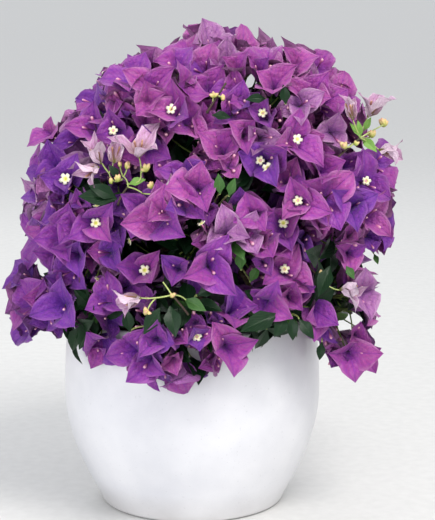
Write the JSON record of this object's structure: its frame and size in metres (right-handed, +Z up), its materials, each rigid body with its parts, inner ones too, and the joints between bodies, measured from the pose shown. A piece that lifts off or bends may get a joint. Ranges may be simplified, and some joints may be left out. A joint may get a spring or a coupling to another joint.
{
  "type": "potted bougainvillea bush",
  "caption": "Rounded flowering bush on a short woody stem in a smooth round-bellied pot; papery violet bracts cover the crown and hang over the rim.",
  "frame": {"origin": "centre of the pot's flat underside", "axes": "+Z up along the pot's axis; -Y towards the side that the picture shows; +X to the right in that view"},
  "size_m": [0.377, 0.3754, 0.4589],
  "materials": {
    "glaze": "smooth pale grey-white satin glaze",
    "soil": "dark moist crumbly potting mix",
    "bark": "rough grey-brown bark",
    "blossom": "matt papery violet-magenta bracts",
    "foliage": "smooth dark green leaves"
  },
  "bodies": {
    "root": {"hanging_blossom_1": "blossom", "hanging_blossom_2": "blossom", "hanging_blossom_3": "blossom", "hanging_blossom_4": "blossom", "hanging_blossom_5": "blossom", "hanging_bough_1": "bark", "hanging_bough_2": "bark", "hanging_bough_3": "bark", "hanging_bough_4": "bark", "hanging_bough_5": "bark", "middle_blossom_1": "blossom", "middle_blossom_2": "blossom", "middle_blossom_3": "blossom", "middle_blossom_4": "blossom", "middle_blossom_5": "blossom", "middle_blossom_6": "blossom", "middle_blossom_7": "blossom", "middle_bough_1": "bark", "middle_bough_2": "bark", "middle_bough_3": "bark", "middle_bough_4": "bark", "middle_bough_5": "bark", "middle_bough_6": "bark", "middle_bough_7": "bark", "pot": "glaze", "skirt_bough_1": "bark", "skirt_bough_2": "bark", "skirt_bough_3": "bark", "skirt_bough_4": "bark", "skirt_bough_5": "bark", "skirt_foliage_1": "foliage", "skirt_foliage_2": "foliage", "skirt_foliage_3": "foliage", "skirt_foliage_4": "foliage", "skirt_foliage_5": "foliage", "soil": "soil", "top_blossom": "blossom", "top_bough": "bark", "trunk": "bark", "upper_blossom_1": "blossom", "upper_blossom_2": "blossom", "upper_blossom_3": "blossom", "upper_blossom_4": "blossom", "upper_blossom_5": "blossom", "upper_bough_1": "bark", "upper_bough_2": "bark", "upper_bough_3": "bark", "upper_bough_4": "bark", "upper_bough_5": "bark"}
  },
  "joints": []
}
